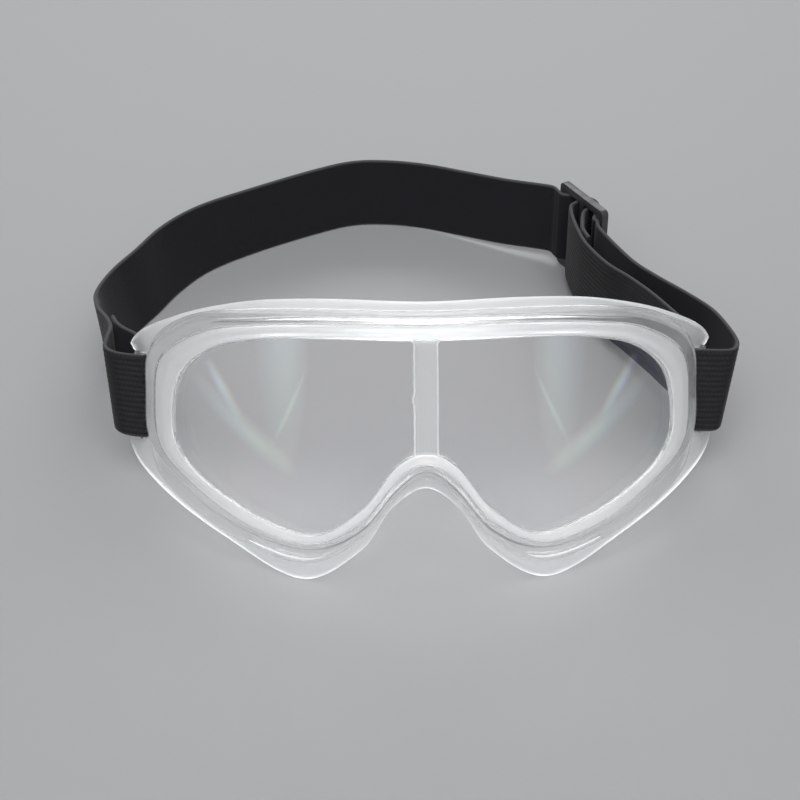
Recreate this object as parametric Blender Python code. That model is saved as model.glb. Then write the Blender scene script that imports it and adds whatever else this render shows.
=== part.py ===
"""Clear safety goggles with an elastic head strap, standing on their lower edge.

A soft clear moulding holds one wrap-around lens. A woven strap loops round a bar at each
temple, and its free end is sewn round the centre bar of a sliding buckle. Lengths in the
tables are millimetres; meshes are made in metres. +Z is up and the lens faces -Y.
"""
import math

import bmesh
import bpy
import numpy as np

MM = 0.001
SHARP_ANGLE_DEG = 40.0

# Goggle body, in its own axes: x across, v up the lens, w back towards the face.
LEAN_DEG = 30.0
NOSE_POINT = np.array([3.87, -94.44, 46.0])
LENS_RADIUS = 102.0
STATIONS_PER_SPAN = 5
WALL = 2.0
FLANGE_THICKNESS = 1.6
WALL_DEPTH, WALL_DEPTH_LOSS, TEMPLE_X = 12.0, 4.8, 85.0
FLANGE_DEPTH, FLANGE_DEPTH_LOSS, FLANGE_X = 15.2, 10.8, 92.0
LENS_FRONT, LENS_BACK = 2.3, 4.3
GROOVE_FRONT, GROOVE_BACK = 2.0, 4.6
GROOVE_REACH, LENS_REACH = 0.52, 0.46
LENS_HUB = np.array([0.0, 14.0])
LENS_RINGS = (1.0, 0.88, 0.62, 0.32)

# Half of each outline from the brow's middle to the nose's middle:
# lens opening, front corner of the rim, root of the face flange, edge of the face flange.
HALF_OUTLINES = [
    ((0.0, 31.6), (0.0, 38.7), (0.0, 39.2), (0.0, 42.2)),
    ((28.0, 32.0), (28.0, 39.0), (29.0, 39.9), (30.0, 43.1)),
    ((48.0, 31.2), (50.5, 38.0), (52.0, 39.6), (53.0, 42.0)),
    ((62.5, 27.8), (68.0, 35.8), (71.0, 36.8), (74.5, 37.0)),
    ((72.3, 19.0), (83.8, 27.0), (83.5, 27.6), (91.0, 28.0)),
    ((75.0, 5.0), (86.0, 11.5), (84.9, 11.5), (92.6, 11.5)),
    ((72.0, -4.5), (85.0, -2.0), (84.5, -4.5), (92.6, -5.5)),
    ((63.5, -12.2), (76.5, -11.2), (79.0, -15.8), (82.0, -16.8)),
    ((48.0, -20.7), (56.0, -24.4), (59.0, -28.2), (60.5, -30.0)),
    ((32.0, -24.2), (35.0, -29.7), (36.0, -35.5), (37.0, -41.2)),
    ((18.5, -16.0), (19.5, -24.0), (19.8, -28.0), (19.3, -32.2)),
    ((8.5, -3.6), (8.6, -11.8), (9.4, -15.4), (9.8, -19.3)),
    ((0.0, 0.0), (0.0, -6.3), (0.0, -9.5), (0.0, -13.3)),
]

# Front of the rim, from the lens opening outwards: (share of the rim's width, depth).
FRONT_PROFILE = [(0.0, 0.7), (0.12, -0.8), (0.38, -1.3), (0.6, -0.5), (0.67, 0.9), (0.93, 1.1), (1.0, 2.0)]
# Inside of the rim, from the wall back to the lens opening.
INNER_PROFILE = [(0.7, 7.2), (0.16, 6.6), (0.12, GROOVE_BACK), (GROOVE_REACH, GROOVE_BACK),
                 (GROOVE_REACH, GROOVE_FRONT), (0.03, GROOVE_FRONT)]

STRIP_HALF_WIDTH = 3.6
STRIP_FRONT, STRIP_BACK = -0.9, 1.9
STRIP_LOW, STRIP_HIGH = -3.2, 35.0

SLOT_LOW, SLOT_HIGH = -2.8, 24.0
SLOT_START, BAR_START, BAR_END, NOTCH_END = 1.0, 4.4, 9.4, 24.0
BAR_THICKNESS, BAR_ROOT = 2.4, 1.5
NOTCH_HALF_DEPTH = 3.5
VENT_FROM_X, VENT_TO_X = 29.0, 51.0
VENT_HALF_HEIGHT, VENT_HALF_REACH, VENT_WALL_SHARE = 0.9, 4.0, 0.72

# Head strap: stations along the middle of its width, from the sewn left end to the right end.
STRAP_WIDTH, STRAP_THICKNESS = 28.0, 1.5
TEMPLE_BAR, GATHER, GATHER_REACH = (89.0, 56.0), 2.0, 26.0
STEPS_PER_STATION = 4
END_GAP = 0.15
SLIDER_CENTRE = np.array([61.3, 160.8])
SLIDER_HEADING_DEG = -60.2
SLIDER_LENGTH, SLIDER_HEIGHT, SLIDER_THICKNESS = 26.0, 34.0, 2.6
SLIDER_BAR, SLIDER_RAIL, SLIDER_CUT = 2.4, 2.5, 9.0
STRAP_LIFT = 3.0
STITCH_THICKNESS, STITCH_OFFSET, STITCH_INSET = 0.5, 1.3, 0.07
STITCH_SPANS = 2
ON_THE_BUCKLE = ("strap_buckle_weave", "strap_sewn_loop")


def smooth_closed(points, steps):
    """Catmull-Rom curve through a closed ring of points."""
    points = np.asarray(points, float)
    count = len(points)
    out = []
    for i in range(count):
        p0, p1, p2, p3 = (points[(i + k) % count] for k in (-1, 0, 1, 2))
        out += [catmull(p0, p1, p2, p3, s / steps) for s in range(steps)]
    return np.array(out)


def smooth_open(points, steps):
    """Catmull-Rom curve through an open run of points."""
    points = np.asarray(points, float)
    padded = np.vstack([2 * points[0] - points[1], points, 2 * points[-1] - points[-2]])
    out = []
    for i in range(len(points) - 1):
        out += [catmull(*padded[i:i + 4], s / steps) for s in range(steps)]
    return np.array(out + [points[-1]])


def catmull(p0, p1, p2, p3, t):
    return 0.5 * (2 * p1 + (p2 - p0) * t + (2 * p0 - 5 * p1 + 4 * p2 - p3) * t * t
                  + (3 * p1 - p0 - 3 * p2 + p3) * t ** 3)


def unit(vector):
    return vector / np.linalg.norm(vector)


def to_world(point):
    """Goggle body axes (x, v, w) to the model's axes."""
    lean = math.radians(LEAN_DEG)
    up = np.array([0.0, math.sin(lean), math.cos(lean)])
    back = np.array([0.0, math.cos(lean), -math.sin(lean)])
    return NOSE_POINT + np.array([point[0], 0.0, 0.0]) + point[1] * up + point[2] * back


def on_lens(x, v, depth):
    """A point at a depth behind the lens cylinder's front face."""
    radius = LENS_RADIUS - depth
    return np.array([x, v, LENS_RADIUS - math.sqrt(radius * radius - x * x)])


def behind(x, v, depth, loss, reach):
    """A point behind the lens cylinder, at a depth that shrinks towards the temples."""
    return on_lens(x, v, 0.0) + np.array([0.0, 0.0, depth - loss * (x / reach) ** 2])


def rails():
    """The four outlines as smooth closed rings with matching stations."""
    rings = []
    for column in range(4):
        right = [row[column] for row in HALF_OUTLINES]
        left = [(-x, v) for x, v in right[-2:0:-1]]
        rings.append(smooth_closed(right + left, STATIONS_PER_SPAN))
    return rings


def flange_points(root, edge):
    root_3d = behind(root[0], root[1], WALL_DEPTH, WALL_DEPTH_LOSS, TEMPLE_X)
    edge_3d = behind(edge[0], edge[1], FLANGE_DEPTH, FLANGE_DEPTH_LOSS, FLANGE_X)
    return root_3d, edge_3d


def frame_profile(opening, corner, root, edge, tangent):
    """One closed cross-section of the moulding, in goggle body axes."""
    def rim(share, depth):
        x, v = opening + share * (corner - opening)
        return on_lens(x, v, depth)

    front = [rim(share, depth) for share, depth in FRONT_PROFILE]
    root_3d, edge_3d = flange_points(root, edge)
    wall_way = unit(root_3d - front[-1])
    flange_way = unit(edge_3d - root_3d)
    wall_in = unit(np.cross(tangent, wall_way))
    flange_in = unit(np.cross(tangent, flange_way))
    middle = 0.5 * (front[-1] + root_3d)
    root_in = root_3d + WALL * unit(wall_in + flange_in)
    edge_in = edge_3d + FLANGE_THICKNESS * flange_in
    inner = [rim(share, depth) for share, depth in INNER_PROFILE]
    return front + [middle, root_3d, edge_3d, edge_in, root_in] + inner


def frame_sections():
    opening, corner, root, edge = rails()
    count = len(opening)
    sections = []
    for i in range(count):
        ahead, before = root[(i + 1) % count], root[i - 1]
        tangent = unit(np.append(ahead - before, 0.0))
        sections.append(frame_profile(opening[i], corner[i], root[i], edge[i], tangent))
    return sections


def axis_empty(name, place):
    """An empty on a joint's axis, which carries the pieces that the joint moves."""
    empty = bpy.data.objects.new(name, None)
    empty.location = MM * place
    bpy.context.scene.collection.objects.link(empty)
    return empty


def mesh_object(name, vertices, faces, material, holder):
    """A closed mesh object from points in millimetres in the model's axes, on its holder."""
    origin = np.array(holder.location)
    mesh = bpy.data.meshes.new(name)
    mesh.from_pydata([tuple(MM * np.asarray(v) - origin) for v in vertices], [], faces)
    mesh.update()
    work = bmesh.new()
    work.from_mesh(mesh)
    bmesh.ops.triangulate(work, faces=work.faces)
    bmesh.ops.recalc_face_normals(work, faces=work.faces)
    work.to_mesh(mesh)
    work.free()
    mesh.materials.append(material)
    mesh.shade_smooth()
    mesh.set_sharp_from_angle(angle=math.radians(SHARP_ANGLE_DEG))
    obj = bpy.data.objects.new(name, mesh)
    obj.parent = holder
    bpy.context.scene.collection.objects.link(obj)
    return obj


def loft(sections, closed):
    """Vertices and faces of a body lofted through equal closed sections."""
    size = len(sections[0])
    vertices = [point for section in sections for point in section]
    spans = len(sections) if closed else len(sections) - 1
    faces = []
    for i in range(spans):
        a, b = i * size, ((i + 1) % len(sections)) * size
        faces += [(a + k, a + (k + 1) % size, b + (k + 1) % size, b + k) for k in range(size)]
    if not closed:
        last = (len(sections) - 1) * size
        faces += [tuple(range(size)), tuple(last + k for k in reversed(range(size)))]
    return vertices, faces


def plastic(name, colour, roughness, metallic=0.0, alpha=1.0):
    material = bpy.data.materials.new(name)
    material.use_nodes = True
    shader = material.node_tree.nodes["Principled BSDF"]
    shader.inputs["Base Color"].default_value = (*colour, 1.0)
    shader.inputs["Roughness"].default_value = roughness
    shader.inputs["Metallic"].default_value = metallic
    shader.inputs["Alpha"].default_value = alpha
    material.diffuse_color = (*colour, alpha)
    return material


def combine(target, tool, operation):
    """Boolean the tool into the target; the tool stays as a hidden guide."""
    tool.hide_render = True
    tool.display_type = "WIRE"
    modifier = target.modifiers.new(tool.name, "BOOLEAN")
    modifier.operation = operation
    modifier.solver = "EXACT"
    modifier.object = tool


def block(name, centre, ways, half_sizes, material, holder):
    """A box given by its centre, three directions and three half sizes, in body axes."""
    corners = []
    for a in (-1, 1):
        for b, c in ((-1, -1), (1, -1), (1, 1), (-1, 1)):
            offset = a * half_sizes[0] * ways[0] + b * half_sizes[1] * ways[1] + c * half_sizes[2] * ways[2]
            corners.append(to_world(centre + offset))
    return mesh_object(name, *loft([corners[:4], corners[4:]], False), material, holder)


def temple_axes(side):
    """Flange root, direction along the flange, and direction through it, at one temple."""
    root_3d, edge_3d = flange_points(*HALF_OUTLINES[5][2:])
    mirror = np.array([side, 1.0, 1.0])
    along = unit((edge_3d - root_3d) * mirror * np.array([1.0, 0.0, 1.0]))
    through = unit(np.array([-side * along[2], 0.0, side * along[0]]))
    return root_3d * mirror, along, through


def strap_pivot():
    """The middle of the line through both strap bars."""
    root_3d, along, _ = temple_axes(1)
    bar = root_3d + along * 0.5 * (BAR_START + BAR_END)
    return to_world(np.array([0.0, 0.5 * (SLOT_LOW + SLOT_HIGH), bar[2]]))


def temple_block(name, side, start, end, half_thickness, low, high, material, holder):
    root_3d, along, through = temple_axes(side)
    centre = root_3d + along * 0.5 * (start + end)
    centre = centre + through * 0.5 * FLANGE_THICKNESS
    centre[1] = 0.5 * (low + high)
    up = np.array([0.0, 1.0, 0.0])
    sizes = (0.5 * (end - start), 0.5 * (high - low), half_thickness)
    return block(name, centre, (along, up, through), sizes, material, holder)


def vent_cutter(name, side, material, holder):
    """A slit along the lower wall, following its curve."""
    opening, corner, root, edge = rails()
    sections = []
    for i in range(len(corner)):
        x, v = corner[i]
        if v > 0 or not VENT_FROM_X <= side * x <= VENT_TO_X:
            continue
        start = on_lens(x, v, FRONT_PROFILE[-1][1])
        root_3d = flange_points(root[i], edge[i])[0]
        way = unit(root_3d - start)
        tangent = unit(np.append(root[i - 1] - root[(i + 1) % len(root)], 0.0))
        normal = unit(np.cross(tangent, way))
        middle = start + VENT_WALL_SHARE * (root_3d - start)
        corners = [(-1, -1), (1, -1), (1, 1), (-1, 1)]
        sections.append([to_world(middle + a * VENT_HALF_HEIGHT * way + b * VENT_HALF_REACH * normal)
                         for a, b in corners])
    return mesh_object(name, *loft(sections, False), material, holder)


def make_frame(holder):
    clear = plastic("clear_soft_moulding", (0.86, 0.88, 0.88), 0.12, alpha=0.45)
    sections = [[to_world(point) for point in section] for section in frame_sections()]
    frame = mesh_object("frame", *loft(sections, True), clear, holder)
    across, up, back = np.eye(3)
    strip_centre = np.array([0.0, 0.5 * (STRIP_LOW + STRIP_HIGH), 0.5 * (STRIP_FRONT + STRIP_BACK)])
    strip_sizes = (STRIP_HALF_WIDTH, 0.5 * (STRIP_HIGH - STRIP_LOW), 0.5 * (STRIP_BACK - STRIP_FRONT))
    strip = block("guide_strip", strip_centre, (across, up, back), strip_sizes, clear, holder)
    combine(frame, strip, "UNION")
    for side, label in ((-1, "left"), (1, "right")):
        notch = temple_block(f"guide_notch_{label}", side, SLOT_START, NOTCH_END, NOTCH_HALF_DEPTH,
                             SLOT_LOW, SLOT_HIGH, clear, holder)
        combine(frame, notch, "DIFFERENCE")
        bar = temple_block(f"guide_bar_{label}", side, BAR_START, BAR_END, 0.5 * BAR_THICKNESS,
                           SLOT_LOW - BAR_ROOT, SLOT_HIGH + BAR_ROOT, clear, holder)
        combine(frame, bar, "UNION")
        combine(frame, vent_cutter(f"guide_vent_{label}", side, clear, holder), "DIFFERENCE")


def make_lens(holder):
    """A curved plate whose edge sits in the moulding's groove."""
    clear = plastic("clear_hard_lens", (0.92, 0.95, 0.95), 0.03, alpha=0.2)
    opening, corner = rails()[:2]
    outline = opening + LENS_REACH * (corner - opening)
    count = len(outline)
    vertices, faces = [], []
    for depth in (LENS_FRONT, LENS_BACK):
        for scale in LENS_RINGS:
            ring = LENS_HUB + scale * (outline - LENS_HUB)
            vertices += [to_world(on_lens(*point, depth)) for point in ring]
        vertices.append(to_world(on_lens(*LENS_HUB, depth)))
    layer = len(LENS_RINGS) * count + 1
    for base in (0, layer):
        for i in range(len(LENS_RINGS) - 1):
            a, b = base + i * count, base + (i + 1) * count
            faces += [(a + k, a + (k + 1) % count, b + (k + 1) % count, b + k) for k in range(count)]
        inner = base + (len(LENS_RINGS) - 1) * count
        faces += [(inner + k, inner + (k + 1) % count, base + layer - 1) for k in range(count)]
    faces += [(k, (k + 1) % count, layer + (k + 1) % count, layer + k) for k in range(count)]
    mesh_object("lens", vertices, faces, clear, holder)


def temple_station(side, along_mm, through_mm, flare):
    """A strap station beside a temple bar: distance along and through the flange."""
    root_3d, along, through = temple_axes(side)
    point = root_3d + along * along_mm + through * (through_mm + 0.5 * FLANGE_THICKNESS)
    point[1] = 0.5 * (SLOT_LOW + SLOT_HIGH)
    x, y, z = to_world(point) - NOSE_POINT + np.array([0.0, 0.0, NOSE_POINT[2]])
    half_width = 0.5 * strap_width(x, y)
    return x, y, z - half_width * math.cos(math.radians(LEAN_DEG)), LEAN_DEG, flare


def round_temple_bar(side, flare):
    """The strap's way in through a temple's slot and round its bar."""
    slot_middle = 0.5 * (SLOT_START + BAR_START)
    return [
        temple_station(side, slot_middle, -2.6, flare),
        temple_station(side, slot_middle, 0.0, 0.0),
        temple_station(side, 3.6, 3.2, 0.0),
        temple_station(side, 7.2, 4.4, 0.0),
    ]


def slider_station(along_mm, outward_mm):
    """A strap station beside the buckle: distance along it, and out from its middle."""
    heading = math.radians(SLIDER_HEADING_DEG)
    along = np.array([math.cos(heading), math.sin(heading)])
    outward = np.array([-along[1], along[0]])
    x, y = SLIDER_CENTRE + along_mm * along + outward_mm * outward
    return x, y, STRAP_LIFT, 0.0, 0.0


def strap_route():
    """Named stretches of the strap. A station is x, y from the nose point, the height of the
    lower edge, the lean back in degrees, and how far the upper edge stands out in x."""
    left_loop = [
        (-97.9, 78.6, 11.4, 22, -2.5),
        (-96.4, 74.2, 12.5, 23, -2.3),
        (-93.8, 70.2, 13.6, 25, -1.8),
        (-88.4, 64.0, 15.2, 27, -1.0),
        *reversed(round_temple_bar(-1, 0.0)),
        (-94.0, 52.4, 17.8, 30, -2.0),
        (-97.6, 57.0, 16.6, 29, -3.0),
        (-97.8, 63.0, 15.6, 27, -3.0),
        (-97.6, 70.0, 13.9, 25, -2.6),
    ]
    back = [
        (-99.8, 78.0, 11.4, 22, -2.5),
        (-103.8, 92.0, 6.5, 15, -4.0),
        (-105.3, 109.0, 1.8, 7, -5.5),
        (-101.5, 126.0, 0.0, 0, -6.0),
        (-95.0, 138.5, 0.0, 0, -5.6),
        (-87.0, 154.0, 0.0, 0, -5.2),
        (-76.0, 167.0, 0.0, 0, -3.0),
        (-58.0, 179.3, 0.0, 0, 0.0),
        (-36.0, 191.8, 0.0, 0, 0.0),
        (-22.0, 197.6, 0.0, 0, 0.0),
        (-9.0, 198.0, 0.0, 0, 0.0),
    ]
    rear_run = [
        (5.0, 194.6, 0.3, 0, 1.0),
        (20.0, 187.8, 0.9, 0, 1.0),
        (34.0, 180.8, 1.8, 0, 0.5),
        (45.0, 176.2, 2.6, 0, 0.0),
    ]
    weave = [
        slider_station(-16.0, -2.6),
        slider_station(-12.0, -2.6),
        slider_station(-9.6, -2.4),
        slider_station(-5.8, 1.5),
        slider_station(0.0, 4.9),
        slider_station(5.8, 1.5),
        slider_station(9.6, -2.4),
        slider_station(12.0, -2.7),
    ]
    outer_run = [
        slider_station(17.0, -4.8),
        (73.3, 121.8, 4.2, 5, 0.5),
        (79.8, 109.3, 5.4, 9, 1.0),
        (88.5, 93.4, 8.0, 15, 2.0),
        (94.2, 79.5, 11.0, 21, 3.0),
    ]
    right_fold = [
        (97.0, 65.5, 14.6, 26, 4.5),
        (97.4, 57.0, 16.2, 29, 5.6),
        (94.6, 51.4, 17.6, 30, 5.0),
        *round_temple_bar(1, 1.0),
        (87.0, 66.5, 14.4, 26, 0.5),
    ]
    inner_run = [
        (83.2, 77.0, 11.3, 21, 0.5),
        (77.6, 93.4, 8.0, 15, 0.5),
        (71.6, 107.8, 5.4, 9, 0.5),
        (65.2, 119.6, 4.0, 5, 0.0),
    ]
    sewn_loop = [
        slider_station(22.0, -14.5),
        slider_station(13.0, -11.8),
        slider_station(4.0, -8.0),
        slider_station(-1.4, -4.6),
        slider_station(-2.8, -1.2),
        slider_station(-2.8, 1.0),
        slider_station(-1.6, 2.5),
        slider_station(1.6, 2.5),
        slider_station(2.8, 1.0),
        slider_station(3.4, -1.6),
        slider_station(5.6, -4.4),
        slider_station(12.5, -9.4),
        slider_station(19.0, -11.4),
    ]
    return [("strap_left_loop", left_loop), ("strap_back", back), ("strap_rear_run", rear_run),
            ("strap_buckle_weave", weave), ("strap_outer_run", outer_run),
            ("strap_right_fold", right_fold), ("strap_inner_run", inner_run),
            ("strap_sewn_loop", sewn_loop)]


def strap_width(x, y):
    """The strap is gathered a little where it passes through the temple slots."""
    gap = math.hypot(abs(x) - TEMPLE_BAR[0], y - TEMPLE_BAR[1])
    return STRAP_WIDTH - GATHER * max(1.0 - (gap / GATHER_REACH) ** 2, 0.0) ** 2


def edge_points(station):
    """Lower and upper edge points of the strap at one station."""
    x, y, low, lean_deg, flare = station
    width = strap_width(x, y)
    rise = np.array([flare, width * math.sin(math.radians(lean_deg)), 0.0])
    rise[2] = math.sqrt(width ** 2 - rise[0] ** 2 - rise[1] ** 2)
    origin = np.array([NOSE_POINT[0], NOSE_POINT[1], 0.0])
    middle = origin + np.array([x, y, low + 0.5 * rise[2]])
    return np.concatenate([middle - 0.5 * rise, middle + 0.5 * rise])


def ribbon_sections(edges, thickness, offset):
    """Rectangular sections across a run of edge pairs, kept on or above the table.
    The offset moves them off the strap's middle."""
    low, high = edges[:, :3], edges[:, 3:]
    middle = 0.5 * (low + high)
    sections = []
    for i in range(len(edges)):
        along = middle[min(i + 1, len(edges) - 1)] - middle[max(i - 1, 0)]
        side = unit(np.cross(along, high[i] - low[i]))
        near, far = (offset - 0.5 * thickness) * side, (offset + 0.5 * thickness) * side
        section = np.array([low[i] + near, low[i] + far, high[i] + far, high[i] + near])
        section[:, 2] = np.maximum(section[:, 2], 0.0)
        sections.append(section)
    return sections


def trim_ends(edges, gap):
    """Pull both ends of a run in by a gap, so that it doesn't touch the next run."""
    out = edges.copy()
    for end, inner in ((0, 1), (-1, -2)):
        step = edges[inner] - edges[end]
        length = 0.5 * (np.linalg.norm(step[:3]) + np.linalg.norm(step[3:]))
        out[end] = edges[end] + step * gap / length
    return out


def make_strap(holders):
    """Every stretch of the strap; returns the edge points along the whole of it."""
    route = strap_route()
    stations = [edge_points(station) for _, stretch in route for station in stretch]
    edges = smooth_open(stations, STEPS_PER_STATION)
    webbing = plastic("black_webbing", (0.012, 0.012, 0.016), 0.85)
    start = 0
    for name, stretch in route:
        end = min(start + len(stretch) * STEPS_PER_STATION, len(edges) - 1)
        run = trim_ends(edges[start:end + 1], END_GAP)
        sections = ribbon_sections(run, STRAP_THICKNESS, 0.0)
        holder = holders["buckle" if name in ON_THE_BUCKLE else "strap"]
        mesh_object(name, *loft(sections, False), webbing, holder)
        start = end
    return edges


def make_stitches(edges, holders):
    """Thread rows where the strap's two ends are sewn back onto it."""
    thread = plastic("black_thread", (0.03, 0.03, 0.035), 0.6)
    near_the_end = len(edges) - 5
    rows = (("stitch_left", "strap", 2, -STITCH_OFFSET),
            ("stitch_buckle", "buckle", near_the_end, -STITCH_OFFSET))
    for name, holder, index, offset in rows:
        run = edges[index:index + STITCH_SPANS + 1].copy()
        inset = STITCH_INSET * (run[:, 3:] - run[:, :3])
        run[:, :3] += inset
        run[:, 3:] -= inset
        sections = ribbon_sections(run, STITCH_THICKNESS, offset)
        mesh_object(name, *loft(sections, False), thread, holders[holder])


def slider_foot():
    """The middle of the buckle's lower rail, on the table."""
    return np.array([NOSE_POINT[0] + SLIDER_CENTRE[0], NOSE_POINT[1] + SLIDER_CENTRE[1], 0.0])


def make_slider(holder):
    """A three-bar buckle standing on its lower rail."""
    dark = plastic("dark_buckle_plastic", (0.03, 0.03, 0.033), 0.35)
    heading = math.radians(SLIDER_HEADING_DEG)
    along = np.array([math.cos(heading), math.sin(heading), 0.0])
    outward = np.array([-along[1], along[0], 0.0])
    up = np.array([0.0, 0.0, 1.0])
    origin = slider_foot()

    def plate(name, middle, length, low, high, thickness):
        corners = []
        for a in (-0.5, 0.5):
            for b, z in ((-0.5, low), (0.5, low), (0.5, high), (-0.5, high)):
                corners.append(origin + (middle + a * length) * along + b * thickness * outward + z * up)
        return mesh_object(name, *loft([corners[:4], corners[4:]], False), dark, holder)

    slider = plate("slider", 0.0, SLIDER_LENGTH, 0.0, SLIDER_HEIGHT, SLIDER_THICKNESS)
    slot_length = 0.5 * (SLIDER_LENGTH - 3 * SLIDER_BAR)
    for name, way in (("guide_slot_rear", -1), ("guide_slot_front", 1)):
        middle = way * 0.5 * (slot_length + SLIDER_BAR)
        slot = plate(name, middle, slot_length, SLIDER_RAIL, SLIDER_HEIGHT - SLIDER_RAIL, SLIDER_CUT)
        combine(slider, slot, "DIFFERENCE")


def build():
    for obj in list(bpy.data.objects):
        bpy.data.objects.remove(obj, do_unlink=True)
    body = axis_empty("goggle_body", NOSE_POINT)
    holders = {
        "strap": axis_empty("strap_tilt_axis", strap_pivot()),
        "buckle": axis_empty("buckle_slide_axis", slider_foot()),
    }
    make_frame(body)
    make_lens(body)
    edges = make_strap(holders)
    make_stitches(edges, holders)
    make_slider(holders["buckle"])
    bpy.context.view_layer.update()


build()
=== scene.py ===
import math

import bmesh
import bpy
import numpy as np
from mathutils import Matrix, Vector


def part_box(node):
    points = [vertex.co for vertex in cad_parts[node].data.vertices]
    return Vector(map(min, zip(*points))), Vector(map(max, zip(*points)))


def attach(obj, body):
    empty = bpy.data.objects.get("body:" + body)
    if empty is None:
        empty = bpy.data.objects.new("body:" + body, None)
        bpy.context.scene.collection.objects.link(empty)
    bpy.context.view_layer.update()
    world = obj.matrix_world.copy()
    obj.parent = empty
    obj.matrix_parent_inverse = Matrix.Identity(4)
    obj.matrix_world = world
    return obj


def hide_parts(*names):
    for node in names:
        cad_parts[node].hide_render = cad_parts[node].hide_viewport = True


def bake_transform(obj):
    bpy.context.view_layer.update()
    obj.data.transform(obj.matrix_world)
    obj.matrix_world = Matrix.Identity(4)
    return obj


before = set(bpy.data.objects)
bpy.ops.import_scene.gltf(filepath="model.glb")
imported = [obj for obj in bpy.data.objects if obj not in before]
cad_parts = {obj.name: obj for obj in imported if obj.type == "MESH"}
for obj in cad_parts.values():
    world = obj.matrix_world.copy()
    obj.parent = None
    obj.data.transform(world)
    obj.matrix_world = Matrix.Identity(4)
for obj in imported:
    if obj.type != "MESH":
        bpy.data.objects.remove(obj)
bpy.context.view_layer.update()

MM = 0.001

# --- Goggle body, in its own axes: x across, v up the lens, w back towards the face ----------
LEAN_DEG = 30.0
NOSE_BEHIND_FRONT, NOSE_BELOW_TOP = 10.26, 32.54
LENS_RADIUS = 102.0
STATIONS_PER_SPAN = 16
WALL = 2.0
FLANGE_THICKNESS = 1.6
WALL_DEPTH, WALL_DEPTH_LOSS, TEMPLE_X = 12.0, 4.8, 85.0
FLANGE_DEPTH, FLANGE_DEPTH_LOSS, FLANGE_X = 15.2, 10.8, 92.0
LENS_FRONT, LENS_BACK = 2.3, 4.3
GROOVE_FRONT, GROOVE_BACK = 2.0, 4.6
GROOVE_REACH, LENS_REACH = 0.52, 0.46

# Half of each outline from the brow's middle to the nose's middle:
# lens opening, front corner of the rim, root of the face flange, edge of the face flange.
HALF_OUTLINES = [
    ((0.0, 31.6), (0.0, 38.7), (0.0, 39.2), (0.0, 42.2)),
    ((28.0, 32.0), (28.0, 39.0), (29.0, 39.9), (30.0, 43.1)),
    ((48.0, 31.2), (50.5, 38.0), (52.0, 39.6), (53.0, 42.0)),
    ((62.5, 27.8), (68.0, 35.8), (71.0, 36.8), (74.5, 37.0)),
    ((72.3, 19.0), (83.8, 27.0), (83.5, 27.6), (91.0, 28.0)),
    ((75.0, 5.0), (86.0, 11.5), (84.9, 11.5), (92.6, 11.5)),
    ((72.0, -4.5), (85.0, -2.0), (84.5, -4.5), (92.6, -5.5)),
    ((63.5, -12.2), (76.5, -11.2), (79.0, -15.8), (82.0, -16.8)),
    ((48.0, -20.7), (56.0, -24.4), (59.0, -28.2), (60.5, -30.0)),
    ((32.0, -24.2), (35.0, -29.7), (36.0, -35.5), (37.0, -41.2)),
    ((18.5, -16.0), (19.5, -24.0), (19.8, -28.0), (19.3, -32.2)),
    ((8.5, -3.6), (8.6, -11.8), (9.4, -15.4), (9.8, -19.3)),
    ((0.0, 0.0), (0.0, -6.3), (0.0, -9.5), (0.0, -13.3)),
]
TEMPLE_ROW = 5
# Front of the rim, from the lens opening outwards: (share of the rim's width, depth, rounding).
FRONT_PROFILE = [(0.0, 0.7, 0.5), (0.1, -1.1, 0.7), (0.38, -1.0, 1.4), (0.6, -0.4, 0.7),
                 (0.67, 0.9, 0.4), (0.93, 1.1, 0.5), (1.0, 2.0, 0.6)]
WALL_ROUNDINGS = (1.0, 1.2, 0.55, 0.55, 1.2)
# Inside of the rim, from the wall back to the lens opening: (share, depth, rounding).
INNER_PROFILE = [(0.7, 7.2, 0.8), (0.16, 6.6, 0.8), (0.12, GROOVE_BACK, 0.3),
                 (GROOVE_REACH, GROOVE_BACK, 0.15), (GROOVE_REACH, GROOVE_FRONT, 0.15),
                 (0.03, GROOVE_FRONT, 0.3)]
ROUND_STEPS = 3
SHARP_DEG = 35.0

# The moulding's other finishes, and which columns of faces round its section have them. Each
# corner of the section makes four columns.
EDGE_FINISH, SATIN_FINISH = 1, 2
LIP_COLUMNS = tuple(range(5, 15))
FLANGE_FRONT_COLUMNS = (34, 35, 36, 37)
FLANGE_EDGE_COLUMNS = (38, 39, 40, 41)

STRIP_HALF_WIDTH, STRIP_FLARE, STRIP_FLARE_LENGTH = 3.6, 0.5, 0.9
STRIP_FRONT, STRIP_BACK = -0.9, 1.9
STRIP_LOW, STRIP_HIGH, STRIP_VISIBLE_HIGH = -1.6, 33.5, 31.6
STRIP_LEVELS, FLARE_LEVELS, FLARE_STEP = 70, 8, 0.3
STRIP_ROUNDING, STRIP_ROUND_STEPS = 0.45, 3
STRIP_EDGE_COLUMNS = (0, 1, 2, 4, 5, 6, 7, 15)
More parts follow.
